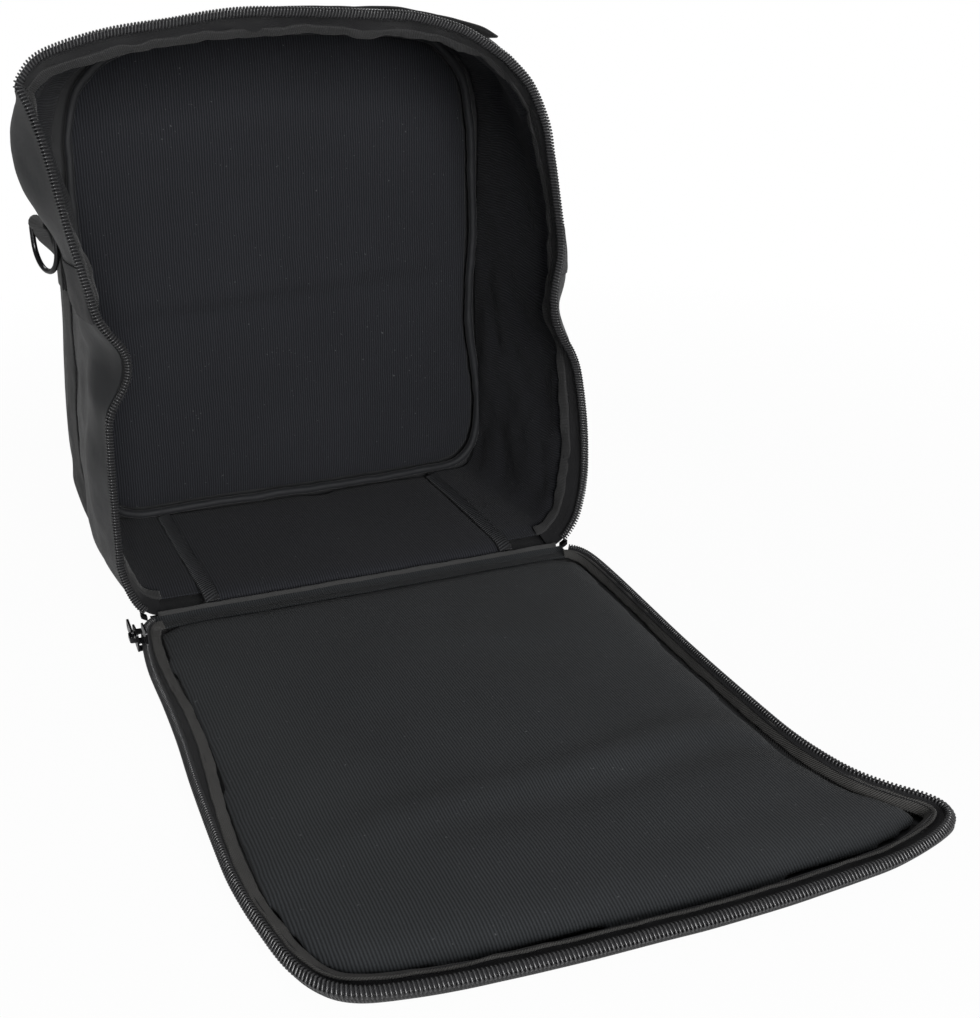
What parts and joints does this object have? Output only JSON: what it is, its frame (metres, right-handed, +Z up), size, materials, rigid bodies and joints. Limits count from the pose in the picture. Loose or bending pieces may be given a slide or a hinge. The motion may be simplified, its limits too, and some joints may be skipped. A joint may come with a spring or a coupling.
{
  "type": "soft accordion case",
  "caption": "Soft padded upright bag with a zipped front cover that folds down flat, ribbed lining, side D-rings on webbing and a low carry handle.",
  "frame": {"origin": "centre of the bag's underside, on the floor that it stands on", "axes": "+X to the right seen from the open front, +Y from the open cover to the back of the bag, +Z up"},
  "size_m": [0.4446, 0.6525, 0.4456],
  "materials": {
    "outer_nylon": "satin woven nylon",
    "padding": "soft foam",
    "lining": "finely ribbed lining cloth",
    "binding": "grosgrain ribbon",
    "zip_tape": "woven tape",
    "zip_coil": "black nylon coil",
    "webbing": "woven webbing",
    "black_metal": "gloss black"
  },
  "bodies": {
    "bag": {"top_panel": "outer_nylon", "left_side_panel": "outer_nylon", "right_side_panel": "outer_nylon", "bottom_panel": "outer_nylon", "back_panel": "outer_nylon", "top_foam": "padding", "left_foam": "padding", "right_foam": "padding", "bottom_foam": "padding", "back_foam": "padding", "gusset_lining": "lining", "bottom_lining": "lining", "back_lining": "lining", "mouth_binding": "binding", "back_binding": "binding", "hinge_binding": "binding", "left_bottom_binding": "binding", "right_bottom_binding": "binding", "hinge_cloth": "binding", "mouth_tape": "zip_tape", "mouth_coil": "zip_coil", "left_band": "webbing", "right_band": "webbing", "left_strap": "webbing", "right_strap": "webbing", "left_ring_loop": "webbing", "right_ring_loop": "webbing", "carry_handle": "webbing", "zip_end_stops": "black_metal"},
    "cover": {"cover_panel": "outer_nylon", "cover_foam": "padding", "cover_lining": "lining", "cover_tape": "zip_tape", "cover_coil": "zip_coil", "cover_binding": "binding"},
    "slider": {"zip_slider": "black_metal"},
    "pull": {"zip_pull": "black_metal"},
    "left_ring": {"left_ring": "black_metal"},
    "right_ring": {"right_ring": "black_metal"}
  },
  "joints": [
    {"name": "cover_hinge", "type": "hinge", "parent": "bag", "child": "cover", "pos_m": [0, -0.1164, 0.0012], "axis": [-1, 0, 0], "range_deg": [0, 90]},
    {"name": "zip_slide", "type": "slide", "parent": "cover", "child": "slider", "axis": [0, -1, 0], "range_m": [0, 0.306]},
    {"name": "pull_hinge", "type": "hinge", "parent": "slider", "child": "pull", "pos_m": [-0.2013, -0.1525, 0.0168], "axis": [0, 0, 1], "range_deg": [0, 160]},
    {"name": "left_ring_hinge", "type": "hinge", "parent": "bag", "child": "left_ring", "pos_m": [-0.213, 0.038, 0.29], "axis": [-0.309, 0.9511, 0], "range_deg": [0, 165]},
    {"name": "right_ring_hinge", "type": "hinge", "parent": "bag", "child": "right_ring", "pos_m": [0.213, 0.038, 0.29], "axis": [-0.309, -0.9511, 0], "range_deg": [0, 165]}
  ]
}
